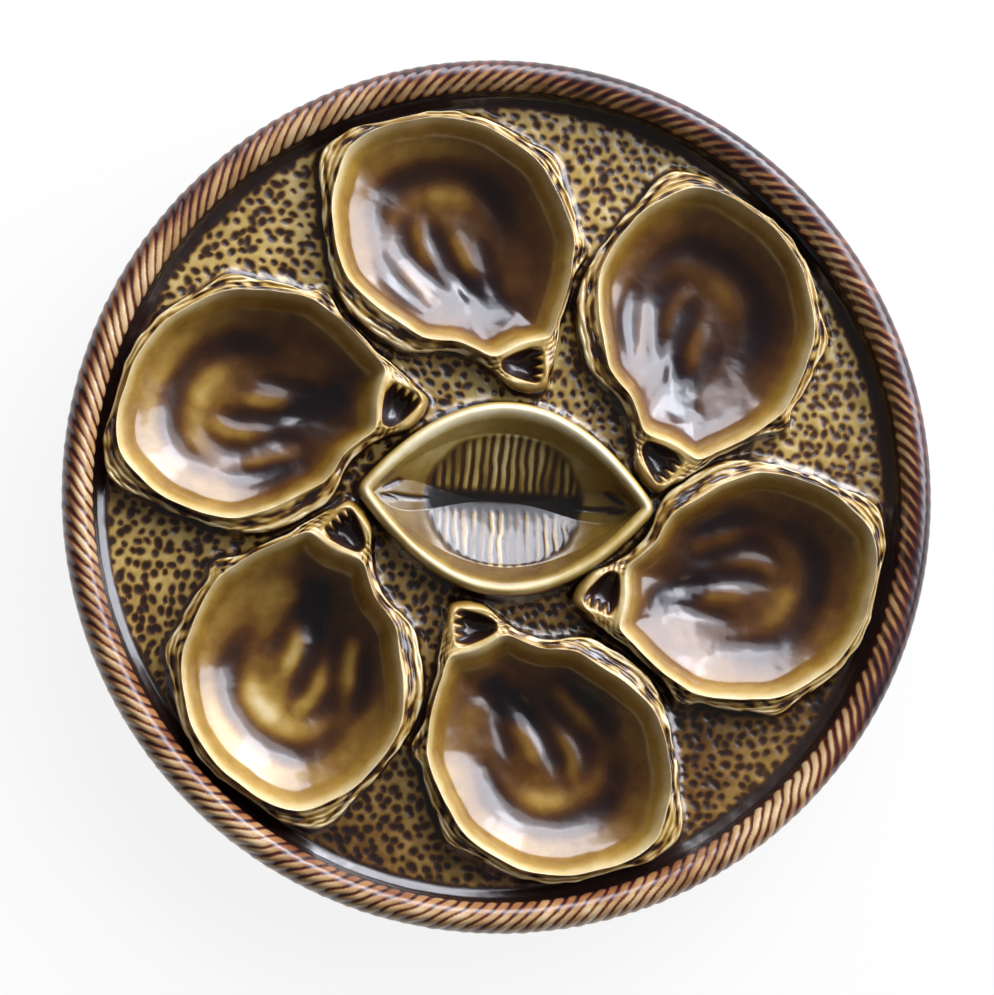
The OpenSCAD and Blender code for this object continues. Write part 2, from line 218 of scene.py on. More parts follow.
def glaze_material(name, colours, roughness=0.27, mottle=0.1, grain_mm=5.0, gloss=0.55):
    """A translucent lead glaze on earthenware. Its colours go from the thinnest glaze to the thickest.

    The surface lies in faint waves, as a thick glaze does where it has run and set."""
    lead_glass_ior = 1.6
    wave_mm, wave_h_mm = 5.5, 0.3
    material = bpy.data.materials.new(name)
    material.use_nodes = True
    material.node_tree.nodes.clear()
    place = add_node(material, "ShaderNodeTexCoord").outputs["Object"]
    thickness = add_node(material, "ShaderNodeAttribute", settings=[("attribute_name", "glaze")])
    runs = add_node(material, "ShaderNodeTexNoise", [("Vector", place)],
                    [("Scale", 1 / (grain_mm * MM)), ("Detail", 3.0), ("Roughness", 0.6)])
    spread = add_node(material, "ShaderNodeMath", [(0, runs.outputs["Fac"])],
                      [("operation", "MULTIPLY_ADD"), (1, 2 * mottle), (2, -mottle)])
    depth = add_node(material, "ShaderNodeMath", [(0, thickness.outputs["Fac"]), (1, spread.outputs[0])],
                     [("operation", "ADD")])
    ramp = add_node(material, "ShaderNodeValToRGB", [("Fac", depth.outputs[0])])
    stops = ramp.color_ramp.elements
    stops[0].position, stops[0].color = colours[0][0], colour(colours[0][1])
    stops[1].position, stops[1].color = colours[-1][0], colour(colours[-1][1])
    for position, code in colours[1:-1]:
        stops.new(position).color = colour(code)
    waves = add_node(material, "ShaderNodeTexNoise", [("Vector", place)],
                     [("Scale", 1 / (wave_mm * MM)), ("Detail", 1.5)])
    bump = add_node(material, "ShaderNodeBump", [("Height", waves.outputs["Fac"])],
                    [("Strength", 0.5), ("Distance", wave_h_mm * MM)])
    shader = add_node(material, "ShaderNodeBsdfPrincipled",
                      [("Base Color", ramp.outputs["Color"]), ("Normal", bump.outputs["Normal"]),
                       ("Coat Normal", bump.outputs["Normal"])],
                      [("Roughness", roughness), ("IOR", lead_glass_ior), ("Coat Weight", gloss),
                       ("Coat Roughness", 0.12)])
    add_node(material, "ShaderNodeOutputMaterial", [("Surface", shader.outputs["BSDF"])])
    return material


def finish_piece(piece, material, node):
    """Gives a piece its glaze, attaches it to the root body and hides the CAD node that it stands for."""
    piece.data.materials.append(material)
    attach(piece, "root")
    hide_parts(node)


# Olive-brown lead glaze, poured: cream clay shows through it on the crests, and pools are nearly black
shell_glaze = glaze_material("olive_brown_lead_glaze", (
    (0.0, "#E2D0A4"), (0.12, "#CDB072"), (0.26, "#A9853A"), (0.4, "#805B20"), (0.54, "#5C3811"),
    (0.7, "#3F220A"), (0.85, "#2B1611"), (1.0, "#1B1116")))

# The shell's outline, a little uneven as a hand-modelled one is
steps_round = 9
lip_unevenness, crest_unevenness = 0.012, 0.008
crest_wave_h = 0.25
outline = closed_curve(shell_outline, steps_round)
crest_xy, lip_xy, hollow = outline[:, :2], outline[:, 2:4], np.clip(outline[:, 4], 0, 1)
lip_xy = lip_xy * (1 + lip_unevenness * noise(*lip_xy.T, 4.0, 11))[:, None]
crest_xy = crest_xy * (1 + crest_unevenness * noise(*crest_xy.T, 6.5, 12))[:, None]
seat_xy = lip_xy * (1 - lip_overhang / np.hypot(*lip_xy.T))[:, None]
round_shell = np.arange(len(outline)) / len(outline) * 2 * math.pi
round_x, round_y = np.cos(round_shell), np.sin(round_shell)
crest_rise = crest_wave_h * (np.sin(5 * round_shell) + np.cos(3 * round_shell))
crest_rise += crest_wave_h * noise(*crest_xy.T, 5.0, 13)
hinge_lift = (crest_z - lip_z) * hinge_rim_level * hollow
frill_w = np.hypot(*(crest_xy - lip_xy).T)


def ring_of(xy, z, coat):
    """One key ring of a form: places, height and how thick the coat of glaze is."""
    return np.column_stack([xy, np.broadcast_to(z, len(xy)), np.broadcast_to(coat, len(xy))])


def from_lip(share):
    """Places that lie a share of the way from the outer lip to the crest."""
    return lip_xy + (crest_xy - lip_xy) * share


def frill_ring(share, level):
    """A key ring between the outer lip and the crest; beside the hinge it runs out into a flat rim."""
    z = lip_z + (crest_z - lip_z) * (level + (hinge_rim_level - level) * hollow)
    return ring_of(from_lip(share), z, 0.42 - 0.28 * hollow)


# Key rings from under the shell up to the lip, over the frill to the crest, and down into the cup, whose
# rows give the share of the way out, the share of the way down and the coat
under_keys = [
    ring_of(crest_xy * 0, foot_h, 0.34),
    ring_of(crest_xy * 0.6, foot_h, 0.34),
    ring_of(crest_xy * 0.78, foot_h + 0.3 * (field_under_z - foot_h), 0.36),
    ring_of(seat_xy, field_under_z, 0.5),
    ring_of(seat_xy, field_z, 0.95)]
frill_keys = [
    ring_of(lip_xy, field_z + 0.75 * (lip_z - field_z), 0.5),
    ring_of(from_lip(0.1 + 0.06 * hollow[:, None]), lip_z + hinge_lift, 0.2 - 0.06 * hollow),
    frill_ring(0.3, 0.02),
    frill_ring(0.55, 0.2),
    frill_ring(0.8, 0.55),
    ring_of(from_lip(0.93 - 0.03 * hollow[:, None]), crest_z - 0.25 + crest_rise, 0.17),
    ring_of(crest_xy, crest_z + crest_rise, 0.06)]
cup_profile = ((0.965, 0.14, 0.13), (0.92, 0.36, 0.31), (0.85, 0.55, 0.43), (0.75, 0.69, 0.51),
               (0.62, 0.83, 0.58), (0.47, 0.95, 0.61), (0.33, 1.0, 0.61), (0.16, 1.0, 0.61),
               (0.0, 1.0, 0.61))
cup_keys = [ring_of(crest_xy * reach, crest_z + (cup_floor_z - crest_z) * down, coat)
            for reach, down, coat in cup_profile]
under_steps = [4, 4, 4, 3, 6]
frill_steps = [4, 8, 8, 8, 6, 3]
cup_steps = [4, 6, 8, 9, 10, 11, 11, 10, 8]
shell_keys = np.array(under_keys + frill_keys + cup_keys)
shell_form = curve_between(shell_keys, under_steps + frill_steps + cup_steps)
lip_ring = sum(under_steps)
crest_ring = lip_ring + sum(frill_steps)
ring_number = np.arange(len(shell_form))[:, None]
in_cup = ease(crest_ring + 8, crest_ring + 30, ring_number)

# Views of the form: changing its heights shell_z or its coat shell_coat changes the form itself
x, y, shell_z, shell_coat = np.moveaxis(shell_form, 2, 0)

# Thin layers of the frill, side by side like the leaves of a real shell
layer_pitch, layer_h = 1.45, 0.45
wander_r = 24.2
frill_share = np.hypot(x - lip_xy[:, 0], y - lip_xy[:, 1]) / frill_w
from_crest = 1 - frill_share
on_frill = (ring_number > lip_ring) & (ring_number <= crest_ring)
wander = 1.5 * noise(wander_r * round_x + 40, wander_r * round_y, 6.0, 17) + 0.9 * noise(x, y, 3.2, 18)
layers = np.cos(2 * math.pi * (frill_w / layer_pitch) * from_crest + 2.4 * wander * from_crest)
layer_size = ease(1.2, 2.6, frill_w) * (1 - hollow) * on_frill
layer_size = layer_size * (0.6 + 0.4 * noise(x, y, 7.0, 19) + 0.3 * noise(x, y, 2.8, 25))
shell_z += layer_h * layer_size * (layers - 1) * ease(0, 0.12, frill_share)
shell_coat -= 0.17 * layer_size * layers

# Dark flecks and pale breaks across the layers, and patches of glaze under the lip
fleck_depth = 0.22
around = 32 + 4.2 * (frill_share * frill_w) + 5 * noise(9 * round_x, 9 * round_y, 2.5, 26)
flecks = noise(around * round_x, around * round_y, 4.0, 20) + 0.35 * noise(x, y, 2.0, 21)
flecks = ease(0.05, 0.6, flecks) - 0.4 * ease(0.0, -0.6, flecks)
edge = ease(lip_ring - 3, lip_ring + 2, ring_number) * ease(crest_ring, crest_ring - 5, ring_number)
shell_z -= fleck_depth * edge * flecks * (1 - hollow)
shell_coat += edge * (0.5 * flecks - 0.08 * ease(0.9, 0.4, frill_share)) * (1 - hollow)
under_lip = ease(lip_ring - 9, lip_ring - 5, ring_number) * ease(lip_ring + 2, lip_ring - 1, ring_number)
shell_coat += 0.3 * under_lip * noise(x, y, 2.6, 22)

# Hollow beside the hinge: a dark bowl in a flat cream rim, wider towards a row of short pointed teeth
bowl_z = crest_z - hinge_depth
bowl_mid_x, bowl_mid_y = 19.1, -37.0
bowl_start_x, bowl_len = 13, 14
bowl_half_len, bowl_half_w, bowl_widening = 6.3, 2.2, 0.34
bowl_coat, tooth_coat = 0.9, 0.22
teeth_x, teeth_y = 20.6, -37.4
tooth_len, tooth_pitch, tooth_rise = 3.6, 2.6, 1.4
bowl_x = (x - bowl_mid_x) / bowl_half_len
bowl_y = (y - bowl_mid_y) / (bowl_half_w + bowl_widening * np.clip(x - bowl_start_x, 0, bowl_len))
bowl = np.cbrt(np.abs(bowl_x) ** 3 + np.abs(bowl_y) ** 3) + 0.04 * noise(x, y, 3.0, 23)
bowl_deep = on_frill * np.clip(1 - bowl**2, 0, 1) ** 0.8
shell_z += bowl_deep * (bowl_z - shell_z)
shell_coat += on_frill * ease(1.05, 0.8, bowl) * (bowl_coat - shell_coat)
teeth = (x - teeth_x) / tooth_len + 0.5 * np.cos(2 * math.pi * (y - teeth_y) / tooth_pitch) - 0.5
teeth += 0.15 * noise(x, y, 1.8, 27)
tooth = on_frill * ease(0.0, 0.9, teeth) * ease(1.08, 0.95, bowl)
shell_z += tooth * (lip_z + tooth_rise - shell_z)
shell_coat += tooth * (tooth_coat - shell_coat)

# Floor of the cup: the glaze runs down towards the hinge, over the strokes and an uneven clay. What the
# strokes change in the coat is kept apart, because it shows more plainly in some cups than in others
shell_coat += in_cup * (0.17 * ease(-7, -25, y + 0.2 * x) - 0.07 * ease(4, 30, y - 0.6 * x))
stroke_coat = np.zeros(x.shape)
for points, width, rise, change in floor_strokes:
    mark = stroke(x, y, points, width) * in_cup
    shell_z += rise * mark
    stroke_coat += change * mark
shell_z += in_cup * (0.1 * noise(x, y, 8.0, 14) + 0.05 * noise(x, y, 3.5, 15))
shell_coat += in_cup * (0.07 * noise(x, y, 13.0, 16) + 0.03 * noise(x, y, 4.0, 24))

# The six casts: how much more or less glaze each cup got, and how plainly its strokes show. Each cup is
# also darker towards its upper right and its lower right and paler towards its lower left: partly glaze
# that ran and gathered there while wet, and partly painted shade on the walls that face away from the
# windows, with painted light on the lit lower left.
shell_pours = (0.04, -0.02, -0.11, -0.02, 0.06, 0.1)
stroke_shares = (1.1, 1.2, 1.4, 1.2, 1.0, 0.9)
shade_and_pool_right, shade_and_pool_far = 0.77, 0.64
second_shade_and_pool = 0.71
for number, (middle_x, middle_y) in enumerate(shell_middles):
    turn = math.radians(shell_turns[number])
    form = shell_form.copy()
    form[:, :, 0] = x * math.cos(turn) - y * math.sin(turn) + middle_x
    form[:, :, 1] = x * math.sin(turn) + y * math.cos(turn) + middle_y
    coat = form[:, :, 3] + 0.05 * noise(form[:, :, 0], form[:, :, 1], 16.0, 20 + number)
    coat += shell_pours[number] * in_cup + stroke_shares[number] * stroke_coat
    to_right, to_far = form[:, :, 0] - middle_x, form[:, :, 1] - middle_y
    # Painted shade towards the upper right and the lower right and painted light towards the lower left,
    # over glaze that gathered there
    towards_shade_and_pool = shade_and_pool_right * to_right + shade_and_pool_far * to_far
    coat += in_cup * (0.1 * ease(6, 27, towards_shade_and_pool) - 0.05 * ease(6, -20, towards_shade_and_pool))
    coat += 0.09 * in_cup * ease(6, 26, second_shade_and_pool * to_right - second_shade_and_pool * to_far)
    shell = pressed_form(f"shell_cup_{number + 1}", form[:, :, :3], np.clip(coat, 0, 1))
    finish_piece(shell, shell_glaze, f"oyster_shell_{number + 1}")

# Sauce well. A pointed oval of the same clay in the middle: a rounded lip, a smooth wall, and two slopes
# ribbed like a cockle that meet in a valley. It is pressed in its own mould and luted to the ground.
# The hinges of the shells reach in towards it, and a gap of ground is left round it.
shell_len = 80.0
hinge_share = 0.56
well_gap = 3.3
well_w = 2 * (shell_ring_r - hinge_share * shell_len - well_gap)
well_len = 1.52 * well_w
well_x, well_y, well_tilt = 1.0, -1.6, math.radians(-3.4)
well_lip_w, well_wall_w, well_overhang = 5.0, 3.4, 2.0
well_lip_z, seat_z, well_wall_z, well_valley_z = 24.5, 19.0, 17.0, 9.6
well_places = 480
tip_round = 3.6
tip_share = 0.18

# The same glaze, thinner: ochre on the walls, gold on the ribs and dark brown between them
well_glaze = glaze_material("ochre_lead_glaze", (
    (0.0, "#E9DBB4"), (0.14, "#C9B173"), (0.28, "#A68A42"), (0.42, "#7F6226"), (0.56, "#583C16"),
    (0.72, "#3A2410"), (0.86, "#26170F"), (1.0, "#17110F")))

round_well = np.arange(well_places) / well_places * 2 * math.pi


def oval_width(side):
    """The pointed oval's share of its full width, for side from 0 at a point to 1 in the middle."""
    bluntness = 0.04
    return np.sqrt((side**2 + bluntness * side) / (1 + bluntness))


def lens(inset):
    """The pointed oval, drawn in from the outer edge of the lip by inset; its lip goes round the points."""
    drawn_in = max(inset, tip_round)
    half_len = (well_len / 2 - tip_round) - (drawn_in - tip_round) * tip_share
    half_w = well_w / 2 - drawn_in
    along, beside = np.cos(round_well), np.sin(round_well)
    oval = np.column_stack([half_len * along, half_w * np.sign(beside) * oval_width(beside**2)])
    edge = np.roll(oval, -1, 0) - np.roll(oval, 1, 0)
    outward = np.column_stack([edge[:, 1], -edge[:, 0]]) / np.hypot(*edge.T)[:, None]
    return oval + outward * (drawn_in - inset)


# Key rings from under the well up to its lip, then over the lip, whose rows give the share of its width in,
# the share of its height down and the coat, and down the wall
lip_drop = well_lip_z - seat_z
wall_inset = well_lip_w + well_wall_w
base_profile = ((0, 0.6), (0.5, 0.6), (0.77, 2.1))
lip_profile = ((0, 0.55, 0.62), (0.1, 0.2, 0.33), (0.34, 0, 0.03), (0.55, 0.05, 0.14), (0.85, 0.26, 0.32),
               (1.05, 0.5, 0.39))
base_keys = [ring_of(lens(well_overhang) * reach, foot_h + up, 0.34) for reach, up in base_profile]
side_keys = [ring_of(lens(well_overhang), field_under_z, 0.5), ring_of(lens(well_overhang), field_z, 0.95)]
lip_keys = [ring_of(lens(well_lip_w * share), well_lip_z - lip_drop * drop, coat)
            for share, drop, coat in lip_profile]
wall_keys = [ring_of(lens(wall_inset), well_wall_z, 0.4)]
well_steps = [6, 6, 6, 3, 5, 4, 4, 4, 4, 4, 7]
well_form = curve_between(np.array(base_keys + side_keys + lip_keys + wall_keys), well_steps)

# The two slopes, hollowed from the foot of the wall down to the valley between them
slope_rings = 84
wall_foot = lens(wall_inset)
slope_half_len, slope_half_w = wall_foot[:, 0].max(), wall_foot[:, 1].max()
inward = np.linspace(1, 0, slope_rings)[1:, None, None] * wall_foot[None]
slope_x, slope_y = inward[:, :, 0], inward[:, :, 1]
end_share = np.abs(slope_x) / slope_half_len
width_there = slope_half_w * oval_width(np.maximum(1 - end_share**2, 0.001))
side_share = np.clip(np.abs(slope_y) / width_there, 0, 1)
slope_z = well_valley_z + (well_wall_z - well_valley_z) * np.maximum(side_share**1.3, end_share**3)

# Ribs: bent, uneven in size, and sunk together a little into both slopes
rib_pitch, rib_h, ribs_sink = 2.6, 0.12, 0.35
ribs_mid_x, ribs_half_len, ribs_half_w = 0.4, 22.6, slope_half_w + 0.6
bent = slope_x + 0.45 * noise(slope_x, slope_y, 6.0, 31) + 0.3 * noise(slope_x, slope_y, 3.0, 35)
bent += 0.1 * np.sign(slope_y) * (slope_x / 9) ** 2
rib_size = 0.72 + 0.45 * noise(slope_x, 9 * np.sign(slope_y) + slope_y / 4, 2.4, 32)
ribs = np.cos(2 * math.pi * bent / rib_pitch)
ribs_end = np.hypot((slope_x - ribs_mid_x) / ribs_half_len, slope_y / ribs_half_w)
ribs_end += 0.02 * noise(slope_x, slope_y, 3.0, 36)
off_valley = np.abs(slope_y) + 0.5 * noise(slope_x, slope_y, 2.0, 37)
on_ribs = ease(0.99, 0.92, ribs_end) * ease(1.6, 4.2, off_valley)
ribbed = ease(1.04, 0.92, ribs_end) * ease(1.0, 0.93, side_share)
slope_z += on_ribs * rib_h * rib_size * ribs - ribs_sink * ribbed
plain_coat, more_if_ribbed, less_on_rib = 0.37, 0.38, 0.52
slope_coat = plain_coat + more_if_ribbed * ribbed - on_ribs * less_on_rib * rib_size * ease(-0.8, 0.5, ribs)
slope_coat += 0.2 * ribbed * ease(4.2, 1.2, np.abs(slope_y)) + 0.1 * ribbed * ease(0.78, 0.96, ribs_end)

# Small folds of the clay at the two points, filled with glaze
point_folds = (((34.5, 1.0), (31, 3.2), (28.5, 4.4)), ((35, -0.6), (32, -1.0), (29.5, -1.2)),
               ((33, 0), (27, -0.6), (21, -0.4)))
fold_w, fold_depth = 0.8, 0.3
folds = np.zeros_like(slope_x)
for side in (-1, 1):
    for points in point_folds:
        sided = [(side * fold_x, fold_y) for fold_x, fold_y in points]
        folds = np.maximum(folds, stroke(slope_x, slope_y, sided, fold_w))
slope_z -= fold_depth * folds
slope_coat += 0.42 * folds

# The whole form, set in its place. Its coat is thicker, so darker, on the near half and thinner, so paler,
# on
# the far half: painted shade and painted light that offset how the lamps light the lip
well_form = np.concatenate([well_form, np.dstack([slope_x, slope_y, slope_z, slope_coat])])
mould_x, mould_y = well_form[:, :, 0].copy(), well_form[:, :, 1].copy()
well_form[:, :, 3] += 0.05 * noise(mould_x, mould_y, 9.0, 33) + 0.09 * ease(2, -12, mould_y)
well_form[:, :, 3] -= 0.12 * ease(2, 14, mould_y)
well_form[:, :, 0] = mould_x * math.cos(well_tilt) - mould_y * math.sin(well_tilt) + well_x
well_form[:, :, 1] = mould_x * math.sin(well_tilt) + mould_y * math.cos(well_tilt) + well_y
well = pressed_form("well_oval", well_form[:, :, :3], np.clip(well_form[:, :, 3], 0, 1))
finish_piece(well, well_glaze, "sauce_well")

# Ground of the plate. A pressed disc of the same clay, pitted all over like a thimble and rounded over by
# its glaze, which fills the pits and runs down round the shells. Its edge sweeps up in a smooth cove to a
# flange that carries the rope, and the shells and the well are set into openings cut through it.
cove_r, flange_r, plate_r = 109.8, 120.7, 122.5
cove_top_in_r, cove_top_out_r = 112.3, 113.5
flange_t, flange_round = 4.0, 0.6
field_in_r, field_step, field_places = 18.0, 0.56, 1112
pit_pitch, pit_r, pit_depth = 3.35, 1.26, 0.2

# How far the ground is tucked in under each shell, how high the glaze climbs against it, and the even coat
# under the plate
tuck, glaze_rise, under_coat = 0.9, 2.6, 0.36

# Brown lead glaze: the ochre clay shows on the net of ridges, and the pits are nearly black
field_glaze = glaze_material("brown_lead_glaze", (
    (0.0, "#D6BE84"), (0.2, "#B89B55"), (0.34, "#94733A"), (0.48, "#6C4A1E"), (0.62, "#482B11"),
    (0.8, "#2F1B10"), (1.0, "#1E1415")), mottle=0.14, grain_mm=7.0)

# Profile of the disc, as radius and height: the flat field, the cove, then over the flange and back under
field_r = np.arange(field_in_r, cove_r, field_step)
field_points = np.column_stack([field_r, np.full(len(field_r), field_z)])
cove_points = ((cove_r, field_z), (110.5, 15.6), (111.3, 15.98), (112.7, 16.8), (113.3, 17.6),
               (113.7, 18.4), (113.8, seat_z))
flange_points = ((117.0, seat_z), (flange_r - flange_round, seat_z), (flange_r, seat_z - flange_round),
                 (flange_r, seat_z - flange_t + flange_round), (flange_r - 1.0, seat_z - flange_t),
                 (116.0, 13.1), (cove_r, field_under_z))
cove = curve_between(np.array(cove_points), (2, 3, 4, 3, 3, 2))
profile = np.concatenate([field_points, cove, flange_points])
profile_r, profile_z = profile[:, :1], profile[:, 1:]
round_field = np.arange(field_places)[None] / field_places * 2 * math.pi
field_x, field_y = profile_r * np.cos(round_field), profile_r * np.sin(round_field)
ground_z = profile_z + 0 * field_x


def past_outline(px, py, outline_xy):
    """How far points lie outside a closed outline round the origin, measured along their own direction."""
    bearing = np.arctan2(outline_xy[:, 1], outline_xy[:, 0])
    order = np.argsort(bearing)
    outline_r = np.hypot(*outline_xy.T)[order]
    reach_there = np.interp(np.arctan2(py, px), bearing[order], outline_r, period=2 * math.pi)
    return np.hypot(px, py) - reach_there


def opening_at(px, py, turn, seat):
    """An opening: its middle, its turn, and its outline, drawn in so that its edge lies inside the clay."""
    return px, py, turn, seat * (1 - tuck / np.maximum(np.hypot(*seat.T), 1))[:, None]


def to_opening(px, py, opening):
    """Points as the shell or the well in that opening sees them."""
    ox, oy, turn, _ = opening
    dx, dy = px - ox, py - oy
    return dx * math.cos(turn) + dy * math.sin(turn), dy * math.cos(turn) - dx * math.sin(turn)


openings = [opening_at(middle_x, middle_y, math.radians(degrees), seat_xy)
            for (middle_x, middle_y), degrees in zip(shell_middles, shell_turns)]
openings.append(opening_at(well_x, well_y, well_tilt, lens(well_overhang)))
clear = np.full(field_x.shape, np.inf)
for opening in openings:
    clear = np.minimum(clear, past_outline(*to_opening(field_x, field_y, opening), opening[3]) - tuck)

# Pits in staggered rows, each moved, turned, stretched and sized by chance, as if pricked by hand
pit_cells = 97
pit_scatter, pit_smallest, pit_largest, pit_stretch = 0.28, 0.68, 1.1, 0.8
pit_draw = np.random.default_rng(41)
pit_shifts = pit_draw.uniform(-pit_scatter, pit_scatter, (pit_cells, pit_cells, 2))
pit_sizes = pit_draw.uniform(pit_smallest, pit_largest, (pit_cells, pit_cells))
pit_slants = pit_draw.uniform(0, math.pi, (pit_cells, pit_cells))
pit_lengths = 1 + pit_draw.uniform(0, 1, (pit_cells, pit_cells)) ** 2 * pit_stretch
row_h = pit_pitch * math.sqrt(3) / 2
bent_x = field_x + 1.7 * noise(field_x, field_y, 17.0, 46) + 0.3 * noise(field_x, field_y, 1.9, 48)
bent_y = field_y + 1.7 * noise(field_x, field_y, 17.0, 47) + 0.3 * noise(field_x, field_y, 1.9, 49)
row_here = np.floor(bent_y / row_h).astype(int)
pits = np.zeros(field_x.shape)
for rows_up in (-1, 0, 1, 2):
    row = row_here + rows_up
    stagger = (row % 2) * 0.5
    column_here = np.floor(bent_x / pit_pitch - stagger).astype(int)
    for columns_on in (-1, 0, 1, 2):
        column = column_here + columns_on
        pit = column % pit_cells, row % pit_cells
        off_x = bent_x - (column + stagger + pit_shifts[pit][..., 0]) * pit_pitch
        off_y = bent_y - (row + pit_shifts[pit][..., 1]) * row_h
        along = off_x * np.cos(pit_slants[pit]) + off_y * np.sin(pit_slants[pit])
        beside = off_y * np.cos(pit_slants[pit]) - off_x * np.sin(pit_slants[pit])
        off_middle = np.hypot(along / pit_lengths[pit], beside) / (pit_r * pit_sizes[pit])
        pits = np.maximum(pits, ease(1.3, 0.4, off_middle))

# Relief: pits away from the shells, an uneven cove, and glaze that rises against the shells and the well
on_top = profile_z == field_z
run_out = clear + 0.7 * noise(field_x, field_y, 5.0, 45)
on_field = ease(cove_r, cove_r - 1.2, profile_r) * ease(2.3, 3.7, run_out) * on_top
on_cove = ease(cove_r - 1, cove_r + 0.6, profile_r) * ease(cove_top_out_r, cove_top_in_r, profile_r)
on_cove = on_cove * (profile_z > field_under_z + 3)
ground_z -= pit_depth * pits * on_field
ground_z += on_field * 0.12 * noise(field_x, field_y, 2.6, 42)
ground_z += on_cove * (0.1 * noise(field_x, field_y, 6.0, 62) + 0.05 * noise(field_x, field_y, 2.4, 63))
ground_z += on_top * glaze_rise * (1 - ease(-0.6, 5.4, clear)) * ease(cove_r, cove_r - 2, profile_r)

# The coat: thin on the ridges, thick in the pits, and thickest round the shells and in the cove
ridge_coat, pit_coat, beside_shell_coat, cove_coat = 0.2, 0.56, 0.93, 0.9
ground_coat = ridge_coat + (pit_coat + 0.1 * ease(40, -60, field_x)) * pits
ground_coat += 0.12 * noise(field_x, field_y, 19.0, 43)
ground_coat += 0.06 * noise(field_x, field_y, 1.5, 44)
# The coat is thicker, so darker, towards the lower right of the plate, and a little thinner towards its top
lower_right_darkening = 0.22 * ease(-20, 100, 0.45 * field_x - 0.9 * field_y) - 0.06 * ease(10, 60, field_y)
ground_coat += lower_right_darkening * (1 - 0.7 * pits)
ground_coat += (beside_shell_coat - ground_coat) * (1 - ease(2.2, 4.0, run_out))
cove_start = profile_r + 0.6 * noise(field_x, field_y, 4.0, 40)
ground_coat += (cove_coat - ground_coat) * ease(cove_r - 0.8, cove_r + 1.0, cove_start)
ground_coat[profile_z[:, 0] < field_z - 1.5] = under_coat

# The openings are cut through and walled, and the underside is closed and covered with an even glaze
ground = pressed_form("pitted_field", np.dstack([field_x, field_y, ground_z]), np.clip(ground_coat, 0, 1))
bm = bmesh.new()
bm.from_mesh(ground.data)
face_middles = np.array([face.calc_center_median()[:2] for face in bm.faces]) / MM
inside = np.zeros(len(face_middles), bool)
for opening in openings:
    inside |= past_outline(*to_opening(face_middles[:, 0], face_middles[:, 1], opening), opening[3]) < 0
bm.faces.ensure_lookup_table()
bmesh.ops.delete(bm, geom=[bm.faces[k] for k in np.flatnonzero(inside)], context="FACES")
while pinched := [v for v in bm.verts if sum(e.is_boundary for e in v.link_edges) > 2]:
    bmesh.ops.delete(bm, geom=pinched, context="VERTS")
field_edge = (cove_r - 0.2) * MM
opening_edges = [e for e in bm.edges if e.is_boundary and e.verts[0].co.xy.length < field_edge]
opening_walls = bmesh.ops.extrude_edge_only(bm, edges=opening_edges)["geom"]
glaze_layer = bm.verts.layers.float["glaze"]
for vert in opening_walls:
    if isinstance(vert, bmesh.types.BMVert):
        vert.co.z = field_under_z * MM
        vert[glaze_layer] = under_coat
under_edges = [e for e in bm.edges if e.is_boundary]
underside = bmesh.ops.triangle_fill(bm, use_beauty=False, edges=under_edges, normal=(0, 0, -1))["geom"]
for face in underside:
    if isinstance(face, bmesh.types.BMFace):
        face.smooth = False
bmesh.ops.recalc_face_normals(bm, faces=bm.faces)
bm.to_mesh(ground.data)
bm.free()
finish_piece(ground, field_glaze, "ground_plate")

# Rope rim. A roll of clay with a twisted rope pressed into it, joined to the flange: 187 slanting strands,
# each rounded over. The glaze is thin and tan on the strands, and purple-brown in the grooves and outside.
rope_w, rope_h = 8.8, 7.0
rope_mid_r = 118.0
rope_strands, steps_per_strand = 187, 8
rope_sections = 30
rope_groove = 0.4
rope_foot = math.radians(16)
strands_crossed = 3.0

# Where round the rim the glaze pooled, where it hides most grooves, and where it ran off the outer flank
pooled_side, shady_side, under_left_side = math.radians(245), math.radians(28), math.radians(255)

# Tan to purple-brown glaze over the strands
rope_glaze = glaze_material("tan_and_manganese_glaze", (
    (0.0, "#DCC095"), (0.18, "#BE9664"), (0.36, "#94623A"), (0.54, "#6A3822"), (0.72, "#4A1F1A"),
    (0.88, "#341416"), (1.0, "#210E12")), roughness=0.3, mottle=0.12, grain_mm=9.0, gloss=0.22)

# The roll's round section, from outside over the top to inside, and the strands that slant across it
rope_half_w = rope_w / 2
rope_half_h = rope_h / (1 + math.sin(rope_foot))
round_section = np.linspace(-rope_foot, math.pi + rope_foot, rope_sections)[:, None]
section_share = np.linspace(0, 1, rope_sections)[:, None]
rope_places = rope_strands * steps_per_strand
round_rim = np.arange(rope_places)[None] / rope_places * 2 * math.pi
rim_x, rim_y = rope_mid_r * np.cos(round_rim), rope_mid_r * np.sin(round_rim)
wobble = 0.16 * noise(rim_x + 30 * section_share, rim_y, 9.0, 51)
wobble += 0.07 * noise(rim_x, rim_y + 20 * section_share, 3.5, 54)
slant = strands_crossed * (1 - np.cos(round_section)) / 2
strand = rope_strands * round_rim / (2 * math.pi) - slant + wobble
lane = np.floor(strand).astype(int) % rope_strands
strand_draw = np.random.default_rng(52)
strand_size = strand_draw.uniform(0.7, 1.0, rope_strands)[lane]
strand_width = strand_draw.uniform(0.8, 1.4, rope_strands)[lane]
ridge = np.abs(np.sin(math.pi * strand)) ** strand_width * strand_size

# Glaze fills the grooves inside the rim at the lower left, and most of them at the upper right
pooled = ease(0.3, 0.8, np.cos(round_rim - pooled_side)) * ease(0.5, 0.64, section_share)
shady = ease(-0.1, 0.8, np.cos(round_rim - shady_side))
open_groove = ease(0, 0.06, section_share) * ease(1, 0.94, section_share)
open_groove = open_groove * (1 - 0.85 * pooled) * (1 - 0.75 * shady)
groove = rope_groove * (1 - ridge) * open_groove
rope_r = plate_r - rope_half_w + (rope_half_w - groove) * np.cos(round_section)
rope_z = seat_z + rope_half_h * math.sin(rope_foot) + (rope_half_h - groove) * np.sin(round_section)
rope_points = np.dstack([rope_r * np.cos(round_rim), rope_r * np.sin(round_rim), rope_z])

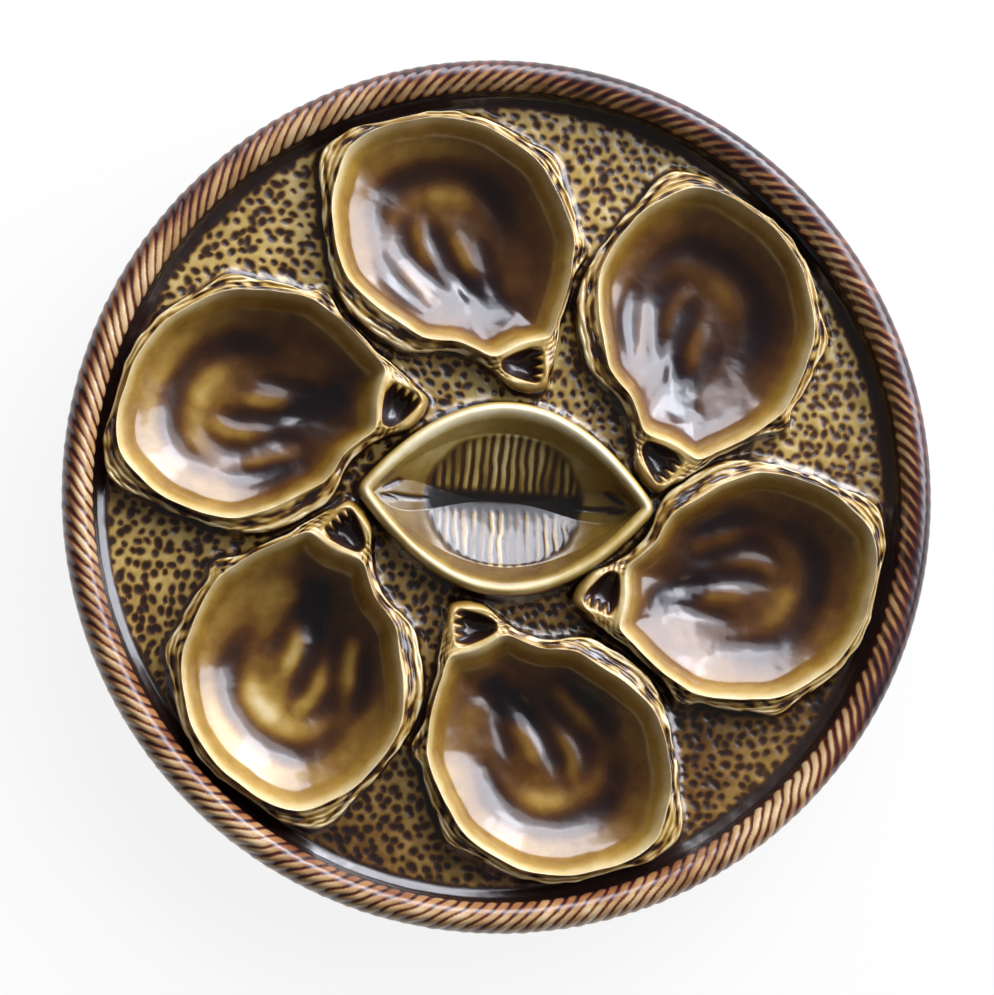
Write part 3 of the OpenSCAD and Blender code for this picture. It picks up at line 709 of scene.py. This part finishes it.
# The coat: thin on the ridges, thick in the grooves and on the outer flank
groove_coat, worn_off_ridges = 0.82, 0.68
under_left = ease(0.2, 0.8, np.cos(round_rim - under_left_side))
uneven_share = section_share + 0.04 * noise(rim_x, rim_y, 5.0, 56)
outside = ease(0.57 + 0.1 * shady, 0.3 + 0.08 * shady, uneven_share) * (1 - 0.75 * under_left)
narrow = 0.24 * shady + 0.28 * outside + 0.4 * ease(0.8, 0.97, section_share)
rope_coat = groove_coat - worn_off_ridges * ease(0.05 + narrow, 0.5 + narrow, ridge) * (1 - 0.42 * outside)
rope_coat += 0.26 * pooled - 0.04 * under_left + 0.04 * shady + 0.1 * outside
rope_coat += 0.14 * noise(rim_x, rim_y, 26.0, 53)
rope_coat += 0.12 * noise(rim_x, rim_y + 9 * section_share, 4.0, 55)

# The section is closed along the flange, back to its first row
rope_points = np.concatenate([rope_points, rope_points[:1]])
rope_coat = np.concatenate([rope_coat, rope_coat[:1]])
rope = pressed_form("twisted_rope", rope_points, np.clip(rope_coat, 0, 1))
finish_piece(rope, rope_glaze, "rope_rim")

# Foot ring. A turned ring of clay under the middles of the cups. Its standing edge is wiped clean of glaze,
# so the bare fired clay shows there.
foot_w, foot_round = 6.0, 1.5
foot_places = 720
foot_bend_steps = 17

# Thin ochre glaze, and pale biscuit where the foot stands
foot_glaze = glaze_material("wiped_ochre_glaze", (
    (0.0, "#CDB795"), (0.12, "#C8B08A"), (0.2, "#8A6C34"), (0.4, "#6E5224"), (0.7, "#4A3216"),
    (1.0, "#2A1B0E")), roughness=0.22, mottle=0.05)

# Section of the ring, from its middle under the plate down one side, round the foot and up the other side
foot_bend = np.radians(np.linspace(180, 360, foot_bend_steps))
foot_side = np.where(foot_bend < 1.5 * math.pi, -1, 1)
foot_across = foot_side * (foot_w / 2 - foot_round) + foot_round * np.cos(foot_bend)
foot_up = foot_round + foot_round * np.sin(foot_bend)
foot_across = np.concatenate([[0, -foot_w / 2, -foot_w / 2], foot_across, [foot_w / 2, foot_w / 2, 0]])
foot_up = np.concatenate([[field_under_z, field_under_z, foot_h], foot_up,
                          [foot_h, field_under_z, field_under_z]])
round_foot = np.arange(foot_places)[None] / foot_places * 2 * math.pi
foot_r = shell_ring_r + foot_across[:, None]
foot_x, foot_y = foot_r * np.cos(round_foot), foot_r * np.sin(round_foot)

# Its top is cut to the undersides of the shells, and bedded a little into them
bedding = 0.3
shell_reach, shell_under_z = (0.62, 0.8, 1.0), (foot_h, 6.8, field_under_z)
under_z = np.full(foot_x.shape, field_under_z)
for opening in openings[:len(shell_middles)]:
    shell_x, shell_y = to_opening(foot_x, foot_y, opening)
    past_seat = past_outline(shell_x, shell_y, seat_xy)
    reach = 1 + past_seat / np.maximum(np.hypot(shell_x, shell_y) - past_seat, 1)
    under_z = np.minimum(under_z, bedding + np.interp(reach, shell_reach, shell_under_z))
foot_points = np.dstack([foot_x, foot_y, np.minimum(foot_up[:, None], under_z)])
wiped_coat, more_above = 0.06, 0.34
foot_coat = wiped_coat + more_above * ease(0.35, 0.9, foot_up)[:, None]
foot_coat = foot_coat + 0.03 * noise(foot_x, foot_y, 8.0, 61)
foot = pressed_form("wiped_foot", foot_points, np.clip(foot_coat, 0, 1))
finish_piece(foot, foot_glaze, "foot_ring")

# Table top, light and camera: a plain pale table, two soft windows to the upper right with a pale wall
# above them, and the camera nearly straight above, as the photograph was taken.
table_size = 6.0
bpy.ops.mesh.primitive_plane_add(size=table_size, location=(0, 0, 0))
table = bpy.context.object
table.name = "table_top"

# The table takes shadows, and is nearly white to the camera and in every reflection
table_white = 0.88
paper = bpy.data.materials.new("white_table")
paper.use_nodes = True
paper.node_tree.nodes.clear()
paths = add_node(paper, "ShaderNodeLightPath")
lit = add_node(paper, "ShaderNodeBsdfDiffuse", settings=[("Color", (0.8, 0.8, 0.8, 1.0))])
white = add_node(paper, "ShaderNodeEmission", settings=[("Color", (1.0, 1.0, 1.0, 1.0)), ("Strength", 1.0)])
mirrored = add_node(paper, "ShaderNodeMath",
                    [(0, paths.outputs["Is Glossy Ray"]), (1, paths.outputs["Is Transmission Ray"])],
                    [("operation", "MAXIMUM")])
seen = add_node(paper, "ShaderNodeMath", [(0, paths.outputs["Is Camera Ray"]), (1, mirrored.outputs[0])],
                [("operation", "MAXIMUM")])
share_white = add_node(paper, "ShaderNodeMath", [(0, seen.outputs[0])],
                       [("operation", "MULTIPLY"), (1, table_white)])
look = add_node(paper, "ShaderNodeMixShader",
                [(0, share_white.outputs[0]), (1, lit.outputs["BSDF"]), (2, white.outputs["Emission"])])
add_node(paper, "ShaderNodeOutputMaterial", [("Surface", look.outputs["Shader"])])
table.data.materials.append(paper)

# A weak even fill from the room
world = bpy.data.worlds.new("soft_room")
bpy.context.scene.world = world
world.use_nodes = True
room = world.node_tree.nodes["Background"]
room.inputs["Color"].default_value = (0.95, 0.97, 1.0, 1.0)
room.inputs["Strength"].default_value = 0.1

# The windows and the wall, as lamps of cool daylight
lamp_distance = 1.3
daylight = (0.88, 0.91, 1.0)


def soft_lamp(name, size_x, size_y, power, bearing, height):
    """A soft oval lamp, in metres and watts, facing the plate from a bearing and a height in degrees."""
    light = bpy.data.lights.new(name, "AREA")
    light.shape = "ELLIPSE"
    light.size, light.size_y = size_x, size_y
    light.energy = power
    light.color = daylight
    lamp = bpy.data.objects.new(name, light)
    bpy.context.scene.collection.objects.link(lamp)
    around, up = math.radians(bearing), math.radians(height)
    towards = Vector((math.cos(around) * math.cos(up), math.sin(around) * math.cos(up), math.sin(up)))
    lamp.location = towards * lamp_distance
    lamp.rotation_mode = "QUATERNION"
    lamp.rotation_quaternion = towards.to_track_quat("Z", "Y")


soft_lamp("right_window", 1.5, 0.8, 20.6, 28, 28)
soft_lamp("far_window", 1.5, 0.8, 20.6, 76, 28)
soft_lamp("pale_wall", 2.2, 0.7, 9.3, 52, 52)

# The photograph's frame in pixels, the camera's focal length and where its axis meets the picture
photo_w, photo_h = 994, 995
focal_px = 3586.76
centre_px = (503.77, 493.13)
view_tilt, view_bearing = math.radians(8), math.radians(208)
view_distance = 1.0
aim = Vector((0, 0, crest_z * MM))
back = Vector((math.sin(view_tilt) * math.cos(view_bearing), math.sin(view_tilt) * math.sin(view_bearing),
               math.cos(view_tilt)))
camera_right = Vector((0, 1, 0)).cross(back).normalized()
camera_up = back.cross(camera_right)
lens_data = bpy.data.cameras.new("camera")
lens_data.sensor_width = 36.0
lens_data.lens = focal_px / photo_h * lens_data.sensor_width
lens_data.shift_x = (photo_w / 2 - centre_px[0]) / photo_h
lens_data.shift_y = (centre_px[1] - photo_h / 2) / photo_h
lens_data.dof.use_dof = False
camera = bpy.data.objects.new("camera", lens_data)
bpy.context.scene.collection.objects.link(camera)
turned = Matrix((camera_right, camera_up, back)).transposed()
camera.rotation_mode = "QUATERNION"
camera.rotation_quaternion = turned.to_quaternion()
camera.location = aim + back * view_distance
bpy.context.scene.camera = camera
bpy.context.scene.view_settings.view_transform = "Standard"
